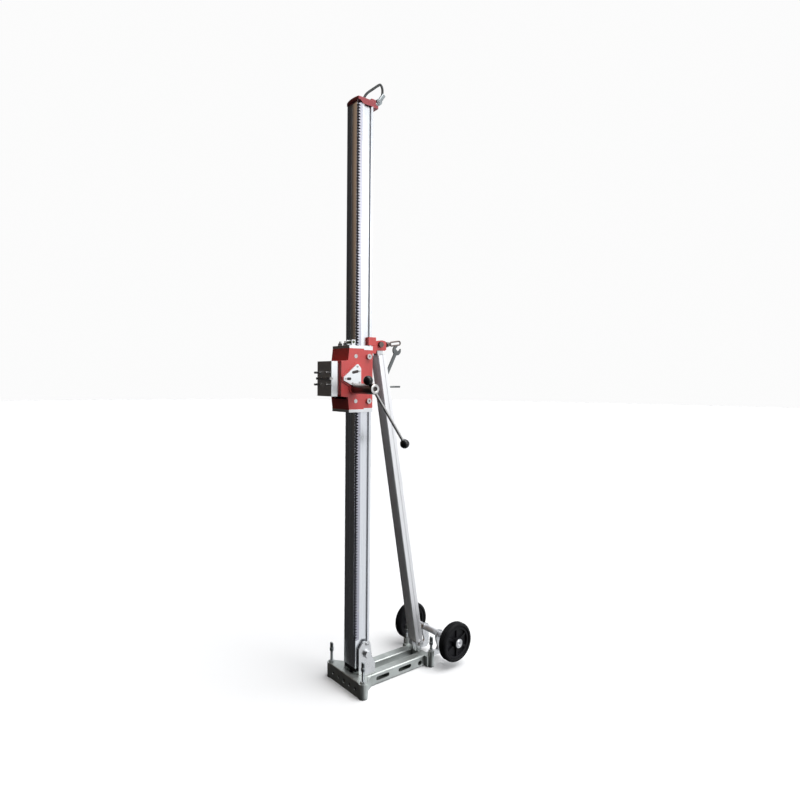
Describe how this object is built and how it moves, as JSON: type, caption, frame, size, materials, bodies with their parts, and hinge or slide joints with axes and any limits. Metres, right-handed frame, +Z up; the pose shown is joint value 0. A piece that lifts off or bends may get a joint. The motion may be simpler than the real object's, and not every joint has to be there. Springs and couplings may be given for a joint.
{
  "type": "core drill rig",
  "caption": "Tall upright stand for a core drill: toothed column on a wheeled base, rear strut, and a red carriage with a hand feed bar and motor plate.",
  "frame": {"origin": "on the floor under the column's axis", "axes": "+Z up, +Y towards the transport wheels, +X towards the feed shaft"},
  "size_m": [0.3365, 0.606, 2.1816],
  "materials": {
    "cast_grey": "satin",
    "zinc": "satin",
    "bolt_steel": "satin",
    "column_alu": "satin",
    "rack_steel": "satin",
    "red_paint": "semi-gloss",
    "plate_alu": "satin",
    "dark_steel": "satin",
    "wheel_plastic": "satin",
    "tyre_rubber": "matte",
    "knob_black": "gloss",
    "strap_black": "matte",
    "white_plastic": "satin",
    "level_tube": "gloss"
  },
  "bodies": {
    "base": {"base_frame": "cast_grey", "column_clevis_plates": "zinc", "column_pivot_bolt": "zinc", "column_pivot_washers": "zinc", "clevis_lock_screws": "zinc", "strut_clevis_plates": "zinc", "strut_pivot_bolt": "zinc", "lock_nuts": "zinc", "axle_arms": "zinc", "axle": "zinc", "axle_washers": "zinc", "lanyard_wires": "zinc"},
    "levelling_screw_front_left": {"levelling_screw_front_left": "zinc"},
    "levelling_screw_front_right": {"levelling_screw_front_right": "zinc"},
    "levelling_screw_rear_left": {"levelling_screw_rear_left": "zinc"},
    "levelling_screw_rear_right": {"levelling_screw_rear_right": "zinc"},
    "wheel_left": {"wheel_left": "wheel_plastic", "tyre_left": "tyre_rubber"},
    "wheel_right": {"wheel_right": "wheel_plastic", "tyre_right": "tyre_rubber"},
    "column": {"column_extrusion": "column_alu", "column_foot": "wheel_plastic", "rack": "rack_steel", "rack_screws": "bolt_steel", "top_cap": "red_paint", "cap_screws": "bolt_steel", "cap_fitting": "zinc", "carry_strap": "strap_black"},
    "strut_bracket": {"strut_bracket": "red_paint", "bracket_bolt": "zinc", "bracket_bumper": "white_plastic"},
    "strut": {"strut_extrusion": "column_alu", "strut_tongue": "zinc", "strut_rear_pin": "bolt_steel", "spanner_peg": "zinc"},
    "clamp_handle": {"clamp_handle": "bolt_steel"},
    "spanner": {"spanner": "bolt_steel"},
    "carriage": {"carriage_housing": "red_paint", "carriage_end_plates": "plate_alu", "gearbox_cover": "plate_alu", "cover_bolts": "bolt_steel", "roller_axles": "bolt_steel", "eccentric_adjusters": "bolt_steel", "motor_plate": "plate_alu", "motor_clamp": "plate_alu", "motor_key": "bolt_steel", "motor_studs": "bolt_steel", "level_bolts": "bolt_steel", "level_bracket": "zinc", "spirit_level": "level_tube"},
    "feed_shaft": {"feed_shaft": "dark_steel", "feed_pinion": "rack_steel"},
    "tommy_bar": {"tommy_bar": "bolt_steel", "bar_knobs": "knob_black"},
    "front_roller_upper": {"front_roller_upper": "dark_steel"},
    "front_roller_lower": {"front_roller_lower": "dark_steel"},
    "side_roller_left_upper": {"side_roller_left_upper": "zinc"},
    "side_roller_left_lower": {"side_roller_left_lower": "zinc"},
    "side_roller_right_upper": {"side_roller_right_upper": "zinc"},
    "side_roller_right_lower": {"side_roller_right_lower": "zinc"}
  },
  "joints": [
    {"name": "column_tilt", "type": "hinge", "parent": "base", "child": "column", "pos_m": [0, 0.013, 0.122], "axis": [-1, 0, 0], "range_deg": [0, 20]},
    {"name": "bracket_slide", "type": "slide", "parent": "column", "child": "strut_bracket", "axis": [0, 0, 1], "range_m": [0, 0.0965]},
    {"name": "strut_hinge", "type": "hinge", "parent": "base", "child": "strut", "pos_m": [0, 0.286, 0.075], "axis": [-1, 0, 0], "range_deg": [0, 20]},
    {"name": "clamp_turn", "type": "hinge", "parent": "strut_bracket", "child": "clamp_handle", "pos_m": [0, 0.101, 1.2349], "axis": [0, 0.9903, 0.1392], "range_deg": [-90, 90]},
    {"name": "spanner_turn", "type": "hinge", "parent": "strut", "child": "spanner", "pos_m": [-0.0315, 0.11381, 1.05499], "axis": [-1, 0, 0], "range_deg": [-20, 30]},
    {"name": "carriage_feed", "type": "slide", "parent": "column", "child": "carriage", "axis": [0, 0, 1], "range_m": [-0.8, 0.003]},
    {"name": "feed_shaft_turn", "type": "hinge", "parent": "carriage", "child": "feed_shaft", "pos_m": [0.1, -0.05487, 1.077], "axis": [1, 0, 0], "range_deg": [-10, 1700]},
    {"name": "tommy_slide", "type": "slide", "parent": "feed_shaft", "child": "tommy_bar", "axis": [0, -0.5875, 0.8092], "range_m": [0, 0.2]},
    {"name": "wheel_left_turn", "type": "hinge", "parent": "base", "child": "wheel_left", "pos_m": [-0.1325, 0.371, 0.098], "axis": [1, 0, 0], "continuous": true},
    {"name": "wheel_right_turn", "type": "hinge", "parent": "base", "child": "wheel_right", "pos_m": [0.1325, 0.371, 0.098], "axis": [1, 0, 0], "continuous": true},
    {"name": "front_roller_lower_turn", "type": "hinge", "parent": "carriage", "child": "front_roller_lower", "pos_m": [0, -0.048, 1.033], "axis": [1, 0, 0], "range_deg": [-15, 2760]},
    {"name": "side_roller_left_lower_turn", "type": "hinge", "parent": "carriage", "child": "side_roller_left_lower", "pos_m": [-0.0356, 0.009, 1.033], "axis": [1, 0, 0], "range_deg": [-20, 3630]},
    {"name": "side_roller_right_lower_turn", "type": "hinge", "parent": "carriage", "child": "side_roller_right_lower", "pos_m": [0.0356, 0.009, 1.033], "axis": [1, 0, 0], "range_deg": [-20, 3630]},
    {"name": "front_roller_upper_turn", "type": "hinge", "parent": "carriage", "child": "front_roller_upper", "pos_m": [0, -0.048, 1.189], "axis": [1, 0, 0], "range_deg": [-15, 2760]},
    {"name": "side_roller_left_upper_turn", "type": "hinge", "parent": "carriage", "child": "side_roller_left_upper", "pos_m": [-0.0356, 0.009, 1.189], "axis": [1, 0, 0], "range_deg": [-20, 3630]},
    {"name": "side_roller_right_upper_turn", "type": "hinge", "parent": "carriage", "child": "side_roller_right_upper", "pos_m": [0.0356, 0.009, 1.189], "axis": [1, 0, 0], "range_deg": [-20, 3630]},
    {"name": "levelling_front_left", "type": "slide", "parent": "base", "child": "levelling_screw_front_left", "axis": [0, 0, 1], "range_m": [-0.02, 0.01]},
    {"name": "levelling_front_right", "type": "slide", "parent": "base", "child": "levelling_screw_front_right", "axis": [0, 0, 1], "range_m": [-0.02, 0.01]},
    {"name": "levelling_rear_left", "type": "slide", "parent": "base", "child": "levelling_screw_rear_left", "axis": [0, 0, 1], "range_m": [-0.016, 0.01]},
    {"name": "levelling_rear_right", "type": "slide", "parent": "base", "child": "levelling_screw_rear_right", "axis": [0, 0, 1], "range_m": [-0.016, 0.01]}
  ],
  "couplings": [
    {"joint": "bracket_slide", "follows": "column_tilt", "m_per_rad": 0.2748},
    {"joint": "strut_hinge", "follows": "column_tilt", "ratio": 0.99496},
    {"joint": "feed_shaft_turn", "follows": "carriage_feed", "rad_per_m": -36.96},
    {"joint": "front_roller_lower_turn", "follows": "carriage_feed", "rad_per_m": -59.88},
    {"joint": "side_roller_left_lower_turn", "follows": "carriage_feed", "rad_per_m": -78.74},
    {"joint": "side_roller_right_lower_turn", "follows": "carriage_feed", "rad_per_m": -78.74},
    {"joint": "front_roller_upper_turn", "follows": "carriage_feed", "rad_per_m": -59.88},
    {"joint": "side_roller_left_upper_turn", "follows": "carriage_feed", "rad_per_m": -78.74},
    {"joint": "side_roller_right_upper_turn", "follows": "carriage_feed", "rad_per_m": -78.74}
  ]
}
